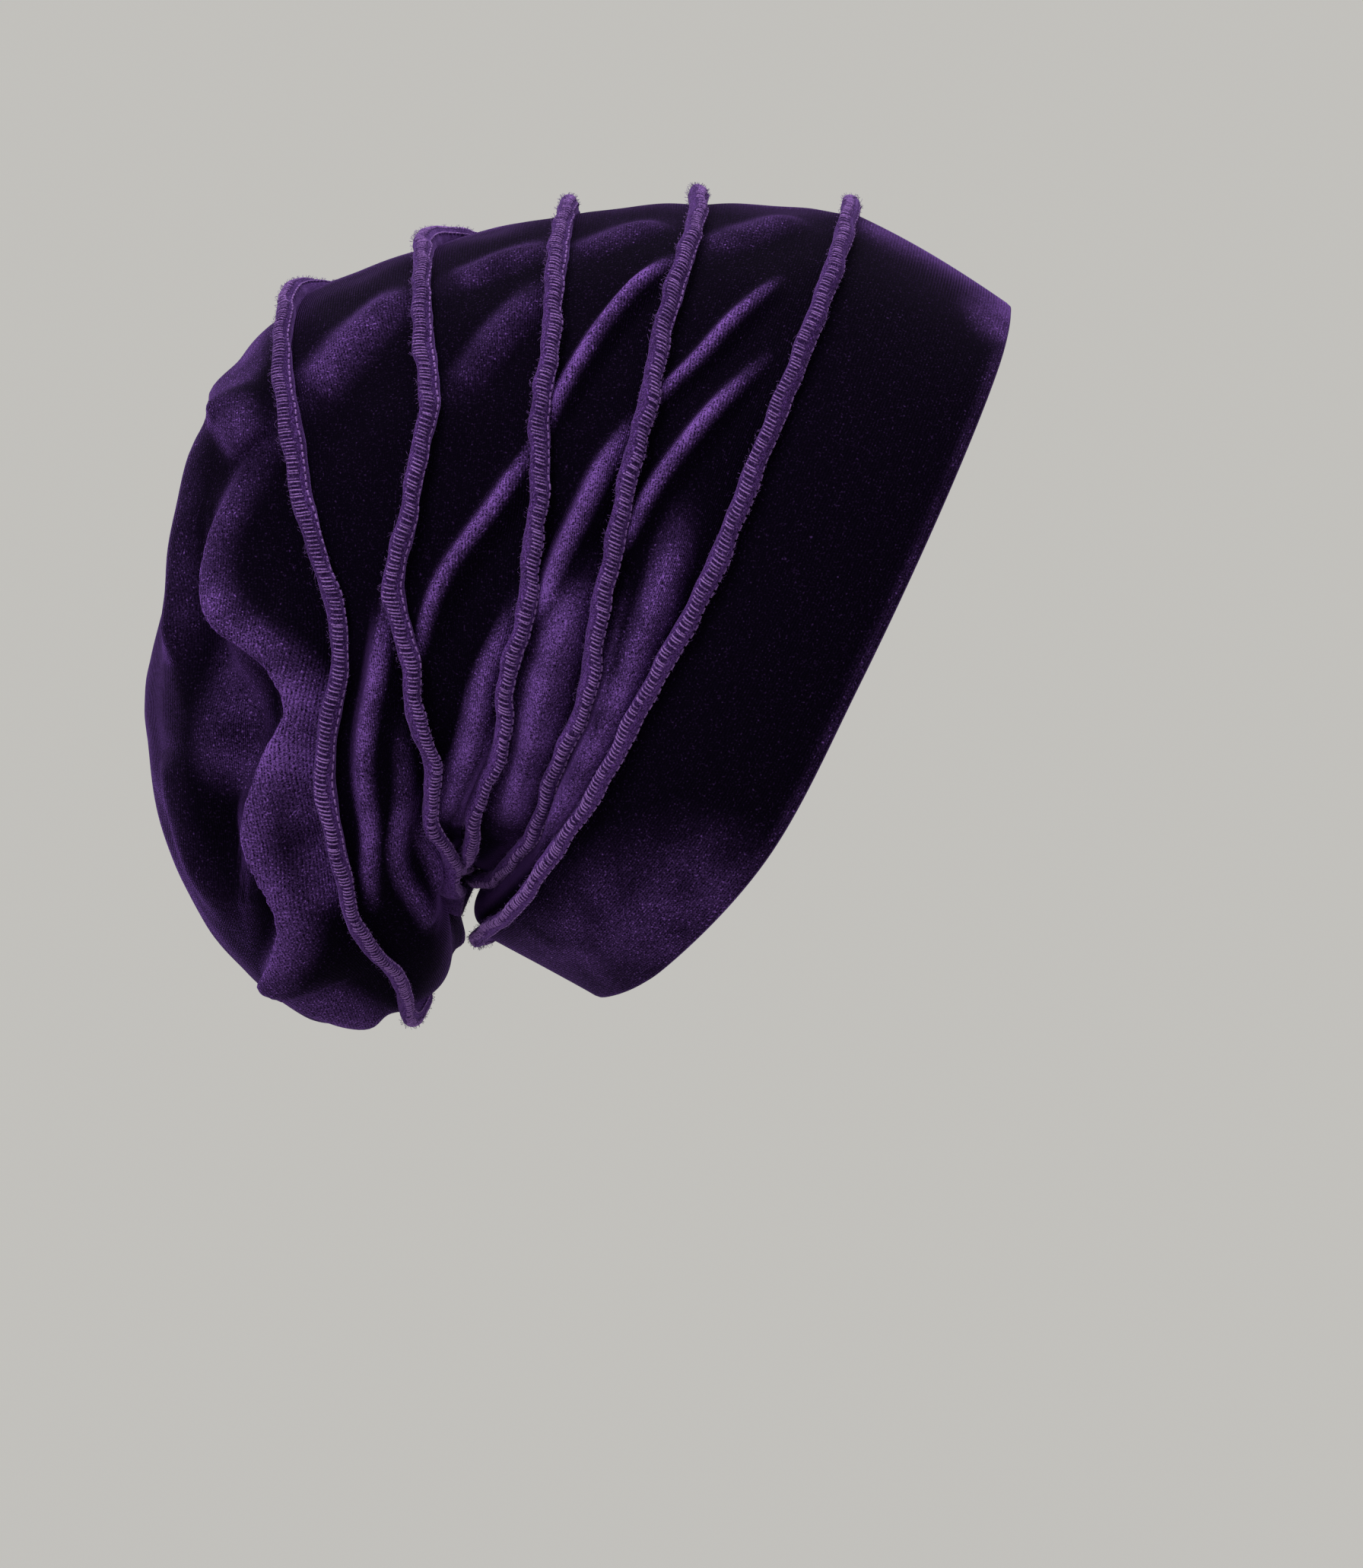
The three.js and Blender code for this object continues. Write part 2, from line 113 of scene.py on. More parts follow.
# Folds, one row each: its crest as (degrees from the crown, share across the piece), where degrees below 0
# are on the left; its height, its half widths on the front and back side and how far the crest leans back;
# how strongly a highlight is painted along it and how widely; and whether the left side has the fold too
Fold = namedtuple("Fold", "piece crest height front back lean light spread both", defaults=[True])
FOLDS = [
    # Rows of height 0 only paint light into the colour: lit patches, painted sheen along the crown and a thin
    # painted highlight along the band's front edge. The other rows also paint a highlight along their crests.
    Fold("front_band", [(175, 0.6), (150, 0.4), (135, 0.1)], 0, 9, 9, 0, 0.32, 36),
    Fold("front_band", [(0, 0), (20, 0)], 0, 9, 9, 0, 0.45, 18),
    Fold("front_band", [(0, 0.2), (5, 0.9)], 0, 9, 9, 0, 0.42, 30),
    Fold("front_band", [(0, 0), (70, 0), (150, 0)], 0, 9, 9, 0, 0.15, 3),
    Fold("panel_1", [(0, 0.1), (0, 0.9)], 0, 9, 9, 0, 0.38, 17),
    Fold("panel_2", [(0, 0.1), (0, 0.9)], 0, 9, 9, 0, 0.38, 17),
    Fold("panel_3", [(0, 0.1), (0, 0.9)], 0, 9, 9, 0, 0.34, 16),
    Fold("panel_4", [(0, 0.1), (0, 0.9)], 0, 9, 9, 0, 0.34, 16),
    Fold("panel_1", [(52, 0.2), (75, 0.7), (90, 1)], 5, 6, 5, 1, 1, 2.3),
    Fold("panel_1", [(36, 0.3), (55, 0.7), (65, 1)], 4, 6, 5, 1, 0.85, 2.1),
    Fold("panel_1", [(15, 0.3), (30, 0.9)], 2, 10, 10, 0, 0.2, 9),
    Fold("panel_1", [(80, 0.45), (110, 0.3), (140, 0.25)], 5, 9, 7, 0, 0.7, 7),
    Fold("panel_1", [(95, 0.8), (120, 0.7), (140, 0.6)], 3, 6, 5, 0, 0.5, 3),
    Fold("panel_2", [(32, 0), (50, 0.5), (70, 1)], 5, 6, 5, 1, 0.95, 2.3),
    Fold("panel_2", [(68, 0), (85, 0.45), (105, 0.9)], 5, 8, 6, 1, 1.1, 3.2),
    Fold("panel_2", [(95, 0.25), (115, 0.5), (145, 0.4)], 6, 11, 9, 0, 0.9, 10),
    Fold("panel_2", [(20, 0.2), (30, 0.9)], 2, 10, 10, 0, 0.22, 9),
    Fold("panel_3", [(38, 0), (58, 0.8)], 3, 9, 8, 0, 0.2, 8),
    Fold("panel_3", [(72, 0), (85, 0.4), (105, 1)], 4.5, 8, 6, 1, 1, 2.5),
    Fold("panel_3", [(100, 0), (120, 0.3), (140, 0.9)], 6, 8, 6, 0, 0.85, 5),
    Fold("panel_3", [(120, 0), (145, 0.3)], 3, 6, 5, 0, 0.6, 4),
    Fold("panel_3", [(25, 0), (30, 0.8)], 2, 10, 10, 0, 0.22, 10),
    Fold("panel_4", [(28, 0), (45, 0.9)], 3, 12, 11, 0, 0.3, 12),
    Fold("panel_4", [(92, 0), (110, 0.5), (140, 0.8)], 4.5, 8, 6, 1, 0.85, 3),
    Fold("panel_4", [(115, 0.1), (135, 0.4), (155, 0.45)], 4, 7, 5, 0, 0.45, 3.5),
    Fold("panel_4", [(135, 0), (155, 0.1)], 3, 7, 7, 0, 0.6, 6),
    Fold("back_panel", [(45, 0), (60, 0.3), (70, 0.35), (80, 0.3), (90, 0.15), (100, 0.07), (110, 0.15),
                        (120, 0.2), (135, 0.15), (150, 0.3), (158, 0.32)], 8, 24, 7, 5, 0.75, 9),
    Fold("back_panel", [(100, 0), (130, 0)], 0, 9, 9, 0, 0.65, 12),
    Fold("back_panel", [(50, 0.4), (65, 0.5), (85, 0.45), (100, 0.3), (115, 0.4), (135, 0.4)],
         -7, 14, 16, 0, 0, 1),
    Fold("back_panel", [(30, 0.3), (50, 0.15)], 4, 12, 10, 0, 0.25, 10, False),
    Fold("back_panel", [(80, 0.35), (105, 0.4)], 0, 10, 10, 0, 0.36, 14),
    Fold("back_panel", [(150, 0.3), (165, 0.2), (180, 0.1)], 3, 11, 11, 0, 0.55, 13),
    Fold("back_panel", [(25, 0.3), (40, 0.55), (80, 0.65)], 4, 18, 16, 0, 0.12, 12, False),
    Fold("back_panel", [(-20, 0.3), (-50, 0.55), (-95, 0.6)], 6, 18, 13, 1, 0.14, 13, False),
    Fold("back_panel", [(-140, 0.35), (-115, 0.55), (-80, 0.7)], 5, 17, 12, 1, 0.12, 12, False),
    Fold("back_panel", [(150, 0.5), (130, 0.65), (105, 0.7)], 3, 15, 13, 0, 0.1, 12, False),
    Fold("back_panel", [(-70, 0.75), (-100, 0.7)], 0, 10, 10, 0, 0.16, 30, False),
    Fold("back_panel", [(-140, 0.6), (-165, 0.7)], 0, 10, 10, 0, 0.16, 26, False),
    Fold("back_panel", [(0, 0.05), (-20, 0.2)], 0, 10, 10, 0, 0.22, 22, False),
    Fold("back_panel", [(4, 0.1), (25, 0.22)], 0, 10, 10, 0, 0.34, 13, False),
    Fold("back_panel", [(-35, 0.4), (0, 0.34), (22, 0.32), (38, 0.25)], 3, 12, 9, 1, 0.22, 7, False),
]
FOLD_SAMPLES = 120
CREST_SHARPNESS = 1.4

# Shares of a crest over which the fold rises and falls, and the margin by which its ends stay above nothing
FOLD_START = 0.35
FOLD_END = 0.2
FOLD_MARGIN = 0.05

# The left side's folds lie lower by up to twice the drop, each by its own amount, and are softer
LEFT_FOLD_DROP = 7
LEFT_DROP_CHANGE = 2.4
LEFT_FOLD_SHARE = 0.85

# Small wrinkles of the cloth, and random patches where a fold's painted highlight is lighter or darker
WRINKLE_SIZE = {name: 16 for name in PANELS} | {"front_band": 40}
WRINKLE_HEIGHT = {name: 1.0 for name in PANELS} | {"front_band": 0.5}
PATCH_SIZE = 9
PATCH_SEED = 5
PATCH_STRENGTH = 0.7
PATCH_LIMITS = (0.3, 1.4)

# Seams: sway of the crest and wander of the whole seam in millimetres, their waves round the loop and start,
# and which shares of the section the rungs span, from back foot (0) over crest (0.25) to front foot (0.5)
Seam = namedtuple("Seam", "sway sway_waves wander wander_waves start rungs")
SEAMS = {
    "seam_1": Seam(0.8, 7, 0.5, 11, 0.4, (0.12, 0.29)),
    "seam_2": Seam(1.0, 8, 0.8, 14, 1.7, (0.22, 0.39)),
    "seam_3": Seam(1.0, 9, 1.2, 15, 2.9, (0.22, 0.39)),
    "seam_4": Seam(1.2, 8, 1.6, 16, 0.9, (0.2, 0.37)),
    "seam_5": Seam(1.4, 6, 2.0, 10, 2.2, (0.18, 0.36)),
}
SEAM_HEIGHT = 6.2
SEAM_FOOT = 0.7
SEAM_HALF_THICKNESS = 2.5
NAPE_HALF_THICKNESS = 2.1
SECTION_ROUND = 20
SECTION_POWER = 0.8
BEND_POWER = 1.5
RIDGE_STEPS = (12, 560)

# Short waves of a seam, as multiples of its sway: kinks of the crest in millimetres, and lumps as shares
# of its thickness
Wave = namedtuple("Wave", "size multiple start")
KINK = Wave(0.4, 5, 1)
LUMPS = [Wave(0.06, 4, 2), Wave(0.04, 9, 0)]

# Painted light on a seam at the crown and at the nape, and on its cloth beside the rungs; painted shade
# darkens the cloth under them
SEAM_PAINTED_LIGHT = (0.55, 1.5)
RIDGE_PAINTED_LIGHT = 0.75
RUNG_SHADE = 0.55
SHADE_OUTSIDE = 0.03
SHADE_INSIDE = 0.01

# Overlock rungs over the crest: reach in shares of the section, hook in stitches, rise and sink in radii
STITCH_SEED = 7
STITCH_PITCH = 1.05
STITCH_JITTER = 0.16
RUNG_RADIUS = 0.23
RUNG_POINTS = 7
RUNG_SIDES = 6
RUNG_REACH_JITTER = 0.012
RUNG_HOOK = 0.6
RUNG_BOW = 1.2
RUNG_RISE = 0.45
RUNG_SINK = 3.2
RUNG_LIGHT = (0.35, 1)

# The needle line at the front foot; each stitch fills a share of its pitch
NEEDLE_PITCH = 2.2
NEEDLE_RADIUS = 0.3
NEEDLE_POINTS = 4
NEEDLE_SIDES = 5
NEEDLE_FILL = 0.7
NEEDLE_PLACE = 0.465
NEEDLE_RISE = 0.4
NEEDLE_LIGHT = (0.6, 1)

# Loose fuzz all over a seam; its band and drift are shares of the section
FUZZ_COUNT = 1800
FUZZ_RADIUS = 0.05
FUZZ_LENGTH = 0.9
FUZZ_SIDES = 3
FUZZ_BAND = (0.02, 0.48)
FUZZ_DRIFT = 0.02
FUZZ_LIGHT = 0.2

# A direction that the threads don't run along, to turn their sections by
SKEW = np.array([0.31, 0.42, 0.85])


def unit(vectors):
    return vectors / np.maximum(np.linalg.norm(vectors, axis=-1, keepdims=True), TINY)


def smoothstep(low, high, value):
    part = np.clip((value - low) / (high - low), 0, 1)
    return part * part * (3 - 2 * part)


def spline(before, start, end, after, part):
    """Catmull-Rom between start and end."""
    return start + 0.5 * part * (
        (end - before) + part * (
            2 * before - 5 * start + 4 * end - after + part * (3 * (start - end) + after - before)))


def loop_corners(row):
    """A loop's points: down the right side from crown to nape, and up the left side."""
    right = [(x, -place.depth * row["half_width"], z) for (x, z), place in zip(row["at"], PLACES)]
    shift_x, shift_z = row["shift"]
    left = [(x + place.far * shift_x, place.depth * row["half_width"], z + place.far * shift_z)
            for (x, z), place in zip(row["at"], PLACES)]
    return np.array(right + left[-2:0:-1], float)


CORNERS = {name: loop_corners(row) for name, row in LOOPS.items()}


def on_loop(name, turns):
    corners = CORNERS[name]
    count = len(corners)
    place = (np.asarray(turns, float) % 1.0) * count
    first = np.floor(place).astype(int)
    part = (place - first)[..., None]
    around = [corners[(first + step) % count] for step in (-1, 0, 1, 2)]
    return spline(*around, part)


def loop_length(name):
    points = on_loop(name, np.linspace(0, 1, LENGTH_SAMPLES))
    return np.linalg.norm(np.diff(points, axis=0), axis=1).sum()


def loop_frame(name, turns):
    """The loop's middle, and its directions along it, across it towards the back and out of the cloth."""
    middle = on_loop(name, turns)
    if LOOPS[name]["half_width"] == 0:
        back = np.broadcast_to(np.array([-1.0, 0, 0]), middle.shape)
        return middle, back, back, back
    place = LOOP_NAMES.index(name)
    before = on_loop(LOOP_NAMES[max(place - 1, 0)], turns)
    after = on_loop(LOOP_NAMES[place + 1], turns)
    along = unit(on_loop(name, turns + PROBE) - on_loop(name, turns - PROBE))
    out = unit(np.cross(after - before, along))
    across = unit(np.cross(along, out))
    if name in SEAMS:
        seam = SEAMS[name]
        wave = np.sin(2 * np.pi * seam.wander_waves * turns + seam.start)
        middle = middle + across * (seam.wander * wave * np.sin(np.pi * turns) ** 2)[:, None]
    return middle, along, across, out


def cloth_edge(name, turns, direction):
    """The edge of a piece of cloth at a loop, moved off a seam's middle."""
    middle, _, across, _ = loop_frame(name, turns)
    return middle + across * direction * (EDGE_OFFSET if name in SEAMS else 0)


def span_place(panel, shares):
    """The span between two loops that each share lies in, and how far along it."""
    spans = len(panel["loops"]) - 1
    first = np.minimum((shares * spans).astype(int), spans - 1)
    return first, (shares * spans - first)[..., None]


def plain_surface(panel, turns, shares):
    """Places on a piece of cloth before it swells and folds."""
    lines = [cloth_edge(name, turns, 1 if k == 0 else -1) for k, name in enumerate(panel["loops"])]
    beyond = 2 * lines[-1] - lines[-2]
    if LOOPS[panel["loops"][-1]]["half_width"] == 0:
        # Past the tip, the cloth runs on to the other side of the loop before it
        beyond = on_loop(panel["loops"][-2], turns + 0.5)
    lines = np.stack([2 * lines[0] - lines[1], *lines, beyond])
    first, part = span_place(panel, shares)
    pick = np.arange(len(shares))
    return spline(*(lines[first + step, pick] for step in range(4)), part)


def outward(panel, turns, shares):
    """The way the cloth swells, turning evenly from one loop's outward direction to the next."""
    outs = np.stack([loop_frame(name, turns)[3] for name in panel["loops"]])
    first, part = span_place(panel, shares)
    pick = np.arange(len(shares))
    return unit(outs[first, pick] * (1 - part) + outs[first + 1, pick] * part)


def swell(panel, turns):
    crown, side, nape = panel["swell"]
    cosine = np.cos(2 * np.pi * turns)
    at_crown = np.maximum(cosine, 0) ** 2
    at_nape = smoothstep(*NAPE_SWELLS, -cosine)
    return side + at_crown * (crown - side) + at_nape * (nape - side)


def wrinkles(places, size, seed):
    return np.array([noise.noise(Vector(place) / size + Vector((seed, 0, 0))) for place in places])


def crest_line(crest):
    """Degrees and shares of a fold's crest at even steps."""
    points = np.array(crest, float)
    points = np.concatenate([[2 * points[0] - points[1]], points, [2 * points[-1] - points[-2]]])
    place = np.linspace(0, len(crest) - 1 - TINY, FOLD_SAMPLES)
    first = place.astype(int)
    return spline(*(points[first + step] for step in range(4)), (place - first)[:, None])


def fold_sides(fold, row):
    """Turns, shares and scale of a fold's crest on its own side, and on the left where it is there too."""
    degrees, shares = crest_line(fold.crest).T
    shares = np.clip(shares, 0, 1)
    sides = [(degrees / 360, shares, 1)]
    if fold.both:
        drop = LEFT_FOLD_DROP * (1 + np.sin(LEFT_DROP_CHANGE * row))
        sides.append((1 - (degrees + drop) / 360, shares, LEFT_FOLD_SHARE))
    return sides


def nearest_on_crest(places, line, ends, back):
    """Each place's distance from a crest, the share of the fold left there, and how far it lies behind."""
    nearest = np.full(len(places), np.inf)
    fade = np.zeros(len(places))
    behind = np.zeros(len(places))
    for point, share, direction in zip(line, ends, back):
        distance = np.linalg.norm(places - point, axis=1)
        closer = distance < nearest
        nearest[closer] = distance[closer]
        fade[closer] = share
        behind[closer] = (places[closer] - point) @ direction
    return nearest, fade, behind


def fold_effects(name, panel, places):
    """How far the folds lift each place and lean it back, and how much light is painted there."""
    lift, lean, light = np.zeros((3, len(places)))
    where = np.linspace(0, 1, FOLD_SAMPLES)
    rise = smoothstep(0, FOLD_START, where + FOLD_MARGIN)
    fades = rise * smoothstep(0, FOLD_END, 1 + FOLD_MARGIN - where)
    for row, fold in enumerate(FOLDS):
        if fold.piece != name:
            continue
        ends = fades if fold.height else np.ones(FOLD_SAMPLES)
        for turns, shares, scale in fold_sides(fold, row):
            line = plain_surface(panel, turns, shares)
            along = unit(np.gradient(line, axis=0)) * np.sign(turns[-1] - turns[0])
            back = np.cross(along, outward(panel, turns, shares))
            nearest, fade, behind = nearest_on_crest(places, line, ends, back)
            reach = np.where(behind > 0, fold.back, fold.front)
            near = smoothstep(0, 1, 1 - nearest / reach) ** CREST_SHARPNESS
            lift += fold.height * scale * fade * near
            lean += fold.lean * scale * fade * near ** 2
            glow = smoothstep(0, 1, 1 - nearest / fold.spread)
            light = np.maximum(light, fold.light * scale * fade * glow)
    patches = np.clip(1 + PATCH_STRENGTH * wrinkles(places, PATCH_SIZE, PATCH_SEED), *PATCH_LIMITS)
    return lift, lean, light * patches


def cloth_points(name, turns, shares):
    """Places on a piece of cloth, and how much light is painted there."""
    panel = PANELS[name]
    places = plain_surface(panel, turns, shares)
    held = np.sqrt(np.maximum(4 * shares * (1 - shares), 0))
    closed = np.minimum(1, shares / BACK_EDGE_SHARE) if name == "back_panel" else held
    lift, lean, light = fold_effects(name, panel, places)
    small = wrinkles(places, WRINKLE_SIZE[name], LOOP_NAMES.index(panel["loops"][0])) * WRINKLE_HEIGHT[name]
    lift = swell(panel, turns) * held ** 2 + (lift + small) * closed
    out = outward(panel, turns, shares)
    back = np.cross(loop_frame(panel["loops"][0], turns)[1], out)
    return places + out * lift[:, None] + back * (lean * closed)[:, None], light


def band_points(turns, across):
    """The band as one sheet folded double: inside, round the front fold and back outside."""
    layer = np.clip(across / BAND_FOLD_SHARE, -1, 1)
    shares = np.clip((np.abs(across) - BAND_FOLD_SHARE) / (1 - BAND_FOLD_SHARE), 0, 1)
    places, light = cloth_points("front_band", turns, shares)
    out = outward(PANELS["front_band"], turns, shares)
    forward = -loop_frame("rim", turns)[2]
    angle = layer * np.pi / 2
    round_fold = out * np.sin(angle)[:, None] + forward * np.cos(angle)[:, None]
    return places + BAND_HALF_FOLD * round_fold, light


def sheet_points(name, turns, shares):
    """Places on a velvet sheet as it was cut, and how much light is painted there."""
    if name == "front_band":
        return band_points(turns, 2 * shares - 1)
    return cloth_points(name, turns, shares)


class Shade:
    """A socket in a shader tree that can be used in sums."""

    def __init__(self, tree, socket):
        self.tree = tree
        self.socket = socket

    def node(self, kind, settings=(), inputs=(), output=0):
        made = self.tree.nodes.new(kind)
        for key, value in dict(settings).items():
            setattr(made, key, value)
        for key, value in dict(inputs).items():
            if isinstance(value, Shade):
                self.tree.links.new(value.socket, made.inputs[key])
            else:
                made.inputs[key].default_value = value
        return Shade(self.tree, made.outputs[output])

    def math(self, operation, first, second=0.0):
        return self.node("ShaderNodeMath", {"operation": operation}, {0: first, 1: second})

    def __add__(self, other):
        return self.math("ADD", self, other)

    def __radd__(self, other):
        return self.math("ADD", other, self)

    def __sub__(self, other):
        return self.math("SUBTRACT", self, other)

    def __rsub__(self, other):
        return self.math("SUBTRACT", other, self)

    def __mul__(self, other):
        return self.math("MULTIPLY", self, other)

    def __rmul__(self, other):
        return self.math("MULTIPLY", other, self)

    def __pow__(self, other):
        return self.math("POWER", self, other)

    def __rpow__(self, other):
        return self.math("POWER", other, self)

    def sine(self):
        return self.math("SINE", self)

    def mix(self, low, high):
        """A colour between two; the colour sockets of a Mix node are its inputs 6 and 7 and its output 2."""
        return self.node("ShaderNodeMix", {"data_type": "RGBA", "clamp_factor": True},
                         {0: self, 6: low, 7: high}, output=2)


# The cloth's noises in waves per metre: fine grain, bright painted glints and broad clouds, and how each one
# tells
GRAIN_SCALE = 2500.0
GRAIN_CONTRAST = 3.4
GLINT_SCALE = 1900.0
GLINT_POWER = 9
GLINT_GAIN = 16
LOOSE_GLINTS = 0.03
CLOUD_SCALE = 60.0
CLOUD_DETAIL = 3.0
CLOUD_GAIN = 1.2
CLOUD_FLOOR = 0.4
RIB_SHADE = 0.4
RIB_BUMP = 0.5
BUMP_STRENGTH = 0.6
BUMP_DISTANCE = 0.2
CLOTH_ROUGHNESS = 0.85
CLOTH_SPECULAR = 0.02

# A finish: dark is its colour where no light is painted, lit its colour under full painted light, gain how
# strongly the painted light tells, then its sheen and whether it has ribs
Finish = namedtuple("Finish", "dark lit gain sheen sheen_roughness sheen_tint ribbed")


def cloth_material(name, finish):
    """Cloth coloured from dark towards a lit colour by its painted light, with speckled grain, painted
    glints, fine ribs along its UV and a constant sheen.
    """
    material = bpy.data.materials.new(name)
    material.use_nodes = True
    tree = material.node_tree
    shader = tree.nodes["Principled BSDF"]
    start = Shade(tree, None)
    where = start.node("ShaderNodeUVMap")
    across = start.node("ShaderNodeSeparateXYZ", inputs={0: where}, output="Y")
    painted_light_and_tone = start.node("ShaderNodeAttribute", {"attribute_name": "painted_light_and_tone"}, output="Fac")
    place = start.node("ShaderNodeTexCoord", output="Object")

    def speckle(scale, detail=0.0):
        return start.node("ShaderNodeTexNoise", inputs={"Vector": place, "Scale": scale, "Detail": detail})

    fine = speckle(GRAIN_SCALE)
    broad = speckle(CLOUD_SCALE, CLOUD_DETAIL)
    ribs = (across * (2 * math.pi / (RIB_PITCH * MM))).sine()
    grain = (fine - 0.5) * GRAIN_CONTRAST + 1.0 + ribs * RIB_SHADE * finish.ribbed
    # Painted glints: bright specks of light put into the colour
    painted_glint = speckle(GLINT_SCALE) ** GLINT_POWER * GLINT_GAIN
    cloud = broad * CLOUD_GAIN + CLOUD_FLOOR
    # The colour runs from dark towards lit where light is painted, speckled by grain and clouds, with painted
    # glints
    tone = painted_light_and_tone * (grain * cloud * finish.gain + painted_glint) + painted_glint * LOOSE_GLINTS
    tree.links.new(tone.mix(finish.dark, finish.lit).socket, shader.inputs["Base Color"])
    height = ribs * finish.ribbed * RIB_BUMP + fine
    bump = start.node("ShaderNodeBump", inputs={
        "Strength": BUMP_STRENGTH, "Distance": BUMP_DISTANCE * MM, "Height": height})
    tree.links.new(bump.socket, shader.inputs["Normal"])
    shader.inputs["Roughness"].default_value = CLOTH_ROUGHNESS
    shader.inputs["Specular IOR Level"].default_value = CLOTH_SPECULAR
    shader.inputs["Sheen Weight"].default_value = finish.sheen
    shader.inputs["Sheen Roughness"].default_value = finish.sheen_roughness
    shader.inputs["Sheen Tint"].default_value = finish.sheen_tint
    return material


VELVET = cloth_material("velvet_purple", Finish(
    dark=(0.0018, 0.0007, 0.004, 1), lit=(0.19, 0.082, 0.37, 1), gain=0.42,
    sheen=0.45, sheen_roughness=0.22, sheen_tint=(0.42, 0.17, 0.85, 1), ribbed=1))
VELVET_BACK = cloth_material("velvet_back", Finish(
    dark=(0.045, 0.026, 0.08, 1), lit=(0.07, 0.04, 0.12, 1), gain=1,
    sheen=0.2, sheen_roughness=0.5, sheen_tint=(0.5, 0.35, 0.8, 1), ribbed=1))
THREAD = cloth_material("seam_thread", Finish(
    dark=(0.05, 0.022, 0.1, 1), lit=(0.27, 0.14, 0.42, 1), gain=1,
    sheen=0.2, sheen_roughness=0.4, sheen_tint=(0.6, 0.4, 0.95, 1), ribbed=0))
RIDGE = cloth_material("seam_cloth", Finish(
    dark=(0.01, 0.004, 0.022, 1), lit=(0.14, 0.056, 0.28, 1), gain=0.45,
    sheen=0.4, sheen_roughness=0.3, sheen_tint=(0.5, 0.25, 0.9, 1), ribbed=0))


def grid_piece(name, steps, place, size, closed=False):
    """A grid bent to place(turns, shares) and joined where its ends meet; its UV is in metres."""
    half = 0.5
    width, length = size
    bm = bmesh.new()
    layer = bm.loops.layers.uv.new("UVMap")
    bmesh.ops.create_grid(bm, x_segments=steps[0], y_segments=steps[1], size=half, calc_uvs=True)
    bm.verts.ensure_lookup_table()
    flat = np.array([vert.co[:2] for vert in bm.verts]) + half
    # Painted light and tone at each vertex, which the materials turn into colour
    painted_light_and_tone = bm.verts.layers.float.new("painted_light_and_tone")
    points, light = place(flat[:, 1], flat[:, 0])
    for vert, point, share in zip(bm.verts, points * MM, light):
        vert.co = point
        vert[painted_light_and_tone] = share
    for face in bm.faces:
        face.smooth = True
        for loop in face.loops:
            across, along = loop[layer].uv
            loop[layer].uv = (along * length * MM, across * width * MM)
    bmesh.ops.remove_doubles(bm, verts=bm.verts, dist=WELD_DISTANCE * MM)
    if closed:
        bmesh.ops.recalc_face_normals(bm, faces=bm.faces)
    mesh = bpy.data.meshes.new(name)
    bm.to_mesh(mesh)
    bm.free()
    piece = bpy.data.objects.new(name, mesh)
    bpy.context.scene.collection.objects.link(piece)
    return piece


def velvet_piece(name):
    """A sheet of velvet with its thickness, nap side out."""
    panel = PANELS[name]
    across = BACK_REACH if name == "back_panel" else panel["cut"][0]
    size = (across, loop_length(panel["loops"][0]))
    piece = grid_piece(f"velvet_{name}", panel["steps"], partial(sheet_points, name), size)
    thick = piece.modifiers.new("thickness", "SOLIDIFY")
    thick.thickness = (BAND_LAYER if name == "front_band" else VELVET_WALL) * MM
    thick.offset = 0
    thick.material_offset = 1
    piece.data.materials.append(VELVET)
    piece.data.materials.append(VELVET_BACK)
    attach(piece, "root")
    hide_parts(name)


def rounded(wave):
    """A sine or cosine with fuller ends, for a section between an oval and a box."""
    return np.sign(wave) * np.abs(wave) ** SECTION_POWER


def ridge_points(name, turns, shares, grow=0):
    """Places on a seam's section, from its back (share 0) over the crest (0.25) to its front (0.5)."""
    seam = SEAMS[name]
    middle, _, across, out = loop_frame(name, turns)
    phase = 2 * np.pi * seam.sway_waves * turns + seam.start
    sway = seam.sway * np.sin(phase) + KINK.size * np.sin(KINK.multiple * phase + KINK.start)
    lump = 1
    for wave in LUMPS:
        lump = lump + wave.size * np.sin(wave.multiple * phase + wave.start)
    at_nape = smoothstep(*SEAM_THINS, -np.cos(2 * np.pi * turns))
    thick = (SEAM_HALF_THICKNESS + at_nape * (NAPE_HALF_THICKNESS - SEAM_HALF_THICKNESS)) * lump
    angle = 2 * np.pi * shares
    half = (SEAM_HEIGHT + SEAM_FOOT) / 2
    side = (thick + grow) * rounded(np.cos(angle))
    high = (half + grow) * rounded(np.sin(angle)) + half - SEAM_FOOT
    bend = np.clip(high / SEAM_HEIGHT, 0, 1) ** BEND_POWER
    return middle + across * (side + sway * bend)[:, None] + out * high[:, None]


def seam_painted_light(turns):
    """Painted light round a seam's loop: darker at the crown, lighter towards the nape."""
    crown, nape = SEAM_PAINTED_LIGHT
    return crown + (nape - crown) * (1 - np.cos(2 * np.pi * turns)) / 2


def ridge_cloth(name, turns, shares):
    """The ridge's places, with painted shade under the rungs and painted light where its velvet shows."""
    first, last = SEAMS[name].rungs
    painted_rung_shade = smoothstep(first - SHADE_OUTSIDE, first + SHADE_INSIDE, shares)
    painted_rung_shade = painted_rung_shade * smoothstep(SHADE_OUTSIDE, -SHADE_INSIDE, shares - last)
    return ridge_points(name, turns, shares), (RIDGE_PAINTED_LIGHT - RUNG_SHADE * painted_rung_shade) * seam_painted_light(turns)


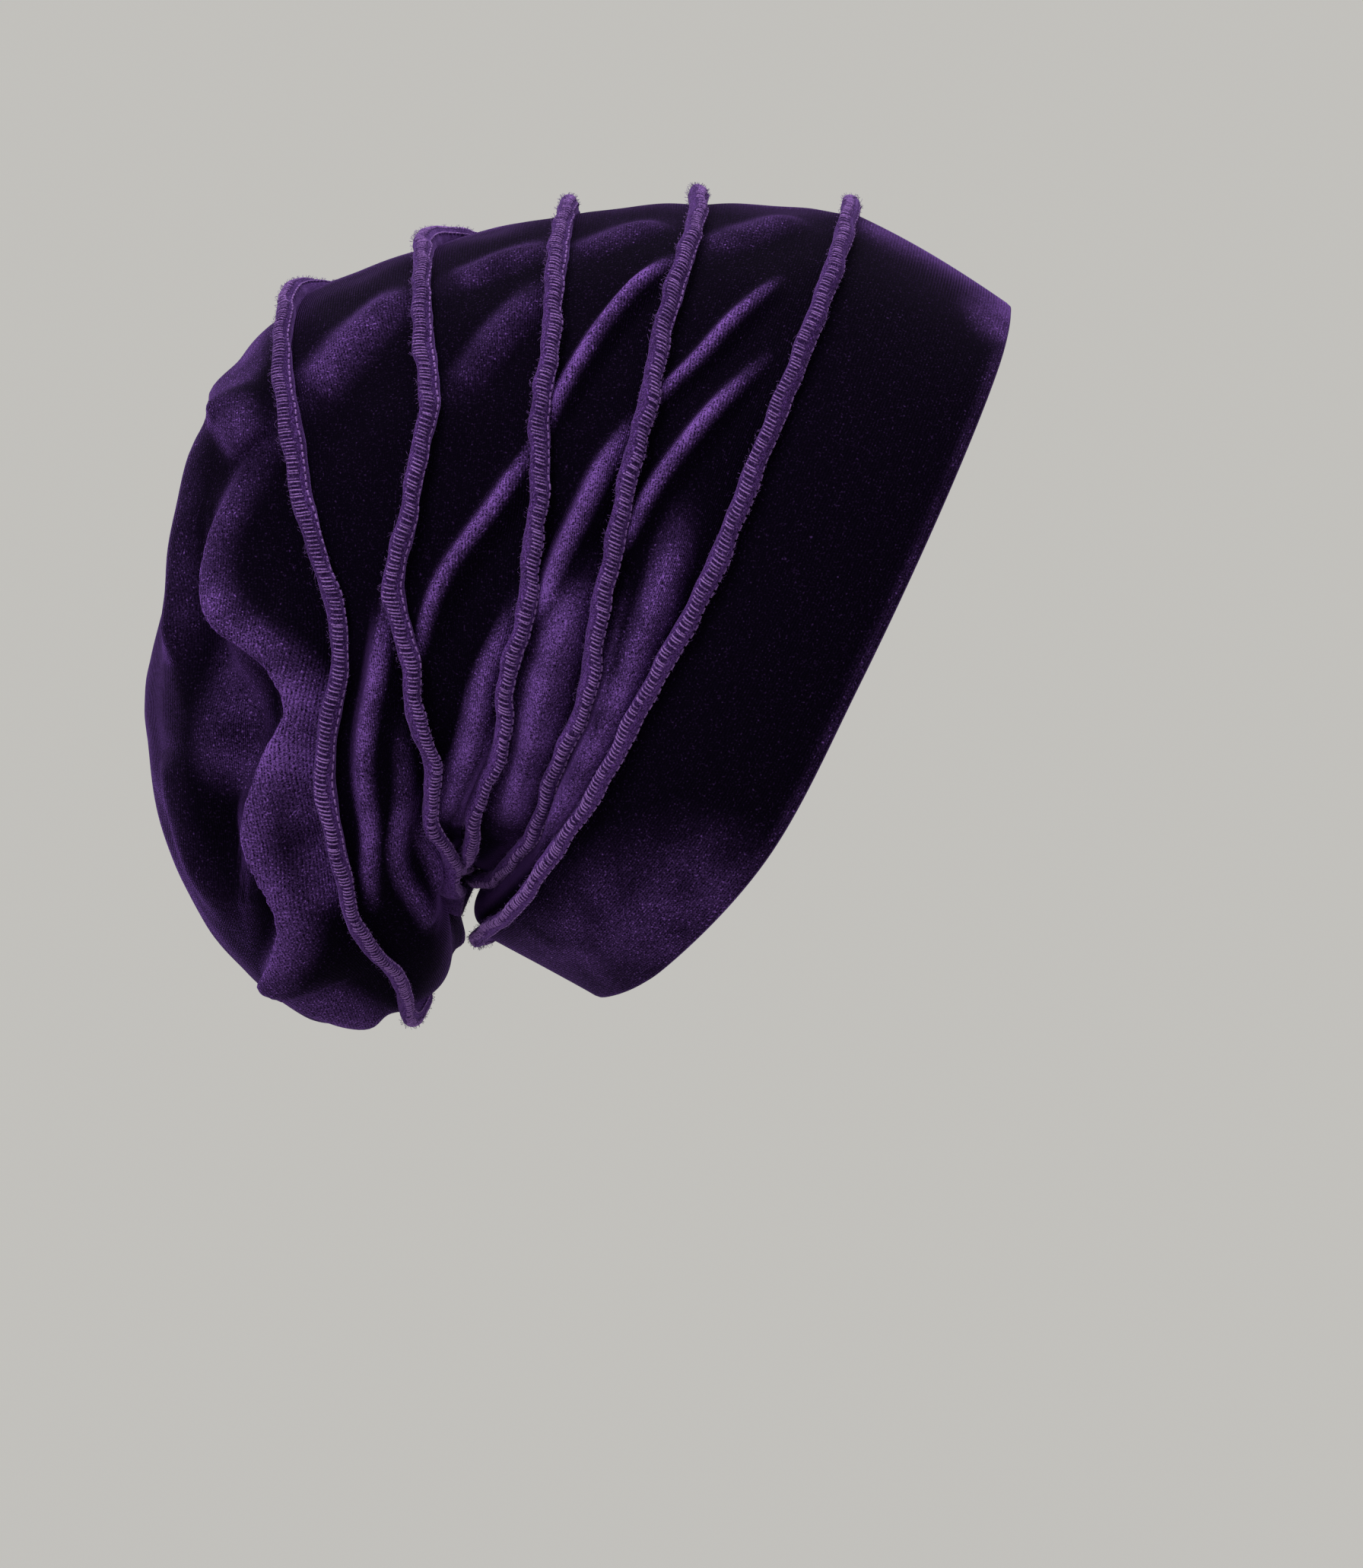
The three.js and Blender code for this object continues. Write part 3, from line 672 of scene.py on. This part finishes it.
def tube(rows, radius, sides, light):
    """Many threads from rows of points along them: vertices, faces and how light each vertex is."""
    paths = np.stack(rows, axis=1)
    threads, points, _ = paths.shape
    along = unit(np.gradient(paths, axis=1))
    aside = unit(np.cross(along, SKEW))
    up = np.cross(along, aside)
    angles = np.arange(sides) * 2 * np.pi / sides
    ring = aside[:, :, None] * np.cos(angles)[:, None] + up[:, :, None] * np.sin(angles)[:, None]
    verts = (paths[:, :, None] + radius * ring).reshape(-1, 3)
    index = np.arange(threads * points * sides).reshape(threads, points, sides)
    turn = np.roll(index, -1, axis=2)
    skin = np.stack([index[:, :-1], turn[:, :-1], turn[:, 1:], index[:, 1:]], axis=-1).reshape(-1, 4)
    return verts, [skin, index[:, 0, ::-1], index[:, -1]], np.repeat(light, points * sides)


def rungs(name, length, random):
    """The looper threads over the seam's crest, each hooked on towards the next."""
    count = int(length / STITCH_PITCH)
    turns = (np.arange(count) + 0.5 + random.normal(0, STITCH_JITTER, count)) / count
    first, last = SEAMS[name].rungs
    reach = random.normal(0, RUNG_REACH_JITTER, (2, count))
    rows = []
    for part in np.linspace(0, 1, RUNG_POINTS):
        shares = (first + reach[0]) * (1 - part) + (last + reach[1]) * part
        hook = (part + RUNG_BOW * part * (1 - part)) * RUNG_HOOK * STITCH_PITCH / length
        rise = RUNG_RADIUS * (RUNG_RISE - RUNG_SINK * (part - 0.5) ** 2)
        rows.append(ridge_points(name, turns + hook, shares, rise))
    light = random.uniform(*RUNG_LIGHT, count) * seam_painted_light(turns)
    return tube(rows, RUNG_RADIUS, RUNG_SIDES, light)


def needle_line(name, length, random):
    """The straight stitches at the seam's front foot."""
    count = int(length / NEEDLE_PITCH)
    starts = np.arange(count) / count
    steps = np.linspace(0, NEEDLE_FILL * NEEDLE_PITCH / length, NEEDLE_POINTS)
    places = np.full(count, NEEDLE_PLACE)
    rows = [ridge_points(name, starts + step, places, NEEDLE_RADIUS * NEEDLE_RISE) for step in steps]
    light = random.uniform(*NEEDLE_LIGHT, count) * seam_painted_light(starts)
    return tube(rows, NEEDLE_RADIUS, NEEDLE_SIDES, light)


def fuzz(name, length, random):
    """Loose hairs that stand off the seam."""
    roots = random.uniform(0, 1, FUZZ_COUNT)
    sides = random.uniform(*FUZZ_BAND, FUZZ_COUNT)
    drift = random.normal(0, 1, (2, FUZZ_COUNT))
    rows = []
    for part in (0, 0.5, 1):
        turns = roots + drift[0] * part * FUZZ_LENGTH / length
        shares = sides + drift[1] * part * FUZZ_DRIFT
        rows.append(ridge_points(name, turns, shares, part * FUZZ_LENGTH))
    return tube(rows, FUZZ_RADIUS, FUZZ_SIDES, np.full(FUZZ_COUNT, FUZZ_LIGHT))


def overlock_piece(name):
    """The threads of one seam as one mesh."""
    length = loop_length(name)
    random = np.random.default_rng(STITCH_SEED + int(name[-1]))
    threads = [make(name, length, random) for make in (rungs, needle_line, fuzz)]
    points = np.concatenate([verts for verts, _, _ in threads])
    light = np.concatenate([shares for _, _, shares in threads])
    faces = []
    offset = 0
    for verts, blocks, _ in threads:
        for block in blocks:
            faces.extend((block + offset).tolist())
        offset += len(verts)
    mesh = bpy.data.meshes.new(f"overlock_{name}")
    mesh.from_pydata((points * MM).tolist(), [], faces)
    mesh.shade_smooth()
    mesh.uv_layers.new(name="UVMap")
    # Painted light and random tone of each thread, which the material turns into colour
    painted_light_and_tone = mesh.attributes.new("painted_light_and_tone", "FLOAT", "POINT")
    painted_light_and_tone.data.foreach_set("value", light)
    piece = bpy.data.objects.new(f"overlock_{name}", mesh)
    bpy.context.scene.collection.objects.link(piece)
    piece.data.materials.append(THREAD)
    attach(piece, "root")


def seam_piece(name):
    """A seam's ridge of velvet, and the threads on it."""
    size = (SECTION_ROUND, loop_length(name))
    ridge = grid_piece(f"ridge_{name}", RIDGE_STEPS, partial(ridge_cloth, name), size, closed=True)
    ridge.data.materials.append(RIDGE)
    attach(ridge, "root")
    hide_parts(name)
    overlock_piece(name)


for panel_name in PANELS:
    velvet_piece(panel_name)
for seam_name in SEAMS:
    seam_piece(seam_name)

# Camera at the photo's place, level with the hat and looking along +Y at the middle of the picture
CAMERA_DISTANCE = 900
PICTURE_HEIGHT = 453.4
PICTURE_MIDDLE_X = -36.1
PICTURE_MIDDLE_Z = -37.1
SENSOR = 36
camera_data = bpy.data.cameras.new("camera")
camera_data.sensor_fit = "VERTICAL"
camera_data.sensor_height = SENSOR
camera_data.lens = SENSOR * CAMERA_DISTANCE / PICTURE_HEIGHT
camera = bpy.data.objects.new("camera", camera_data)
camera.location = Vector((PICTURE_MIDDLE_X, -CAMERA_DISTANCE, PICTURE_MIDDLE_Z)) * MM
camera.rotation_euler = (math.radians(90), 0, 0)
bpy.context.scene.collection.objects.link(camera)
bpy.context.scene.camera = camera

# A pale warm wall all round, lit softly
WALL_TONE = (0.54, 0.53, 0.505, 1)
world = bpy.data.worlds.new("room")
bpy.context.scene.world = world
world.use_nodes = True
world.node_tree.nodes["Background"].inputs["Color"].default_value = WALL_TONE
world.node_tree.nodes["Background"].inputs["Strength"].default_value = 1.0

# Soft lamps: place, what each aims at and size in metres, and power in watts
Lamp = namedtuple("Lamp", "name place aim size power")
LAMPS = [
    Lamp("key", (-0.7, -1.0, 1.1), (-0.06, 0, 0), 0.7, 17),
    Lamp("top", (0.1, 0.1, 1.4), (-0.06, 0, 0), 0.9, 13),
    Lamp("behind", (-1.3, 0.9, 0.7), (-0.08, 0, 0), 0.8, 4),
]
for lamp in LAMPS:
    data = bpy.data.lights.new(lamp.name, "AREA")
    data.size = lamp.size
    data.energy = lamp.power
    light = bpy.data.objects.new(lamp.name, data)
    light.location = lamp.place
    light.rotation_euler = (Vector(lamp.aim) - Vector(lamp.place)).to_track_quat("-Z", "Y").to_euler()
    bpy.context.scene.collection.objects.link(light)

bpy.context.scene.view_settings.view_transform = "Standard"
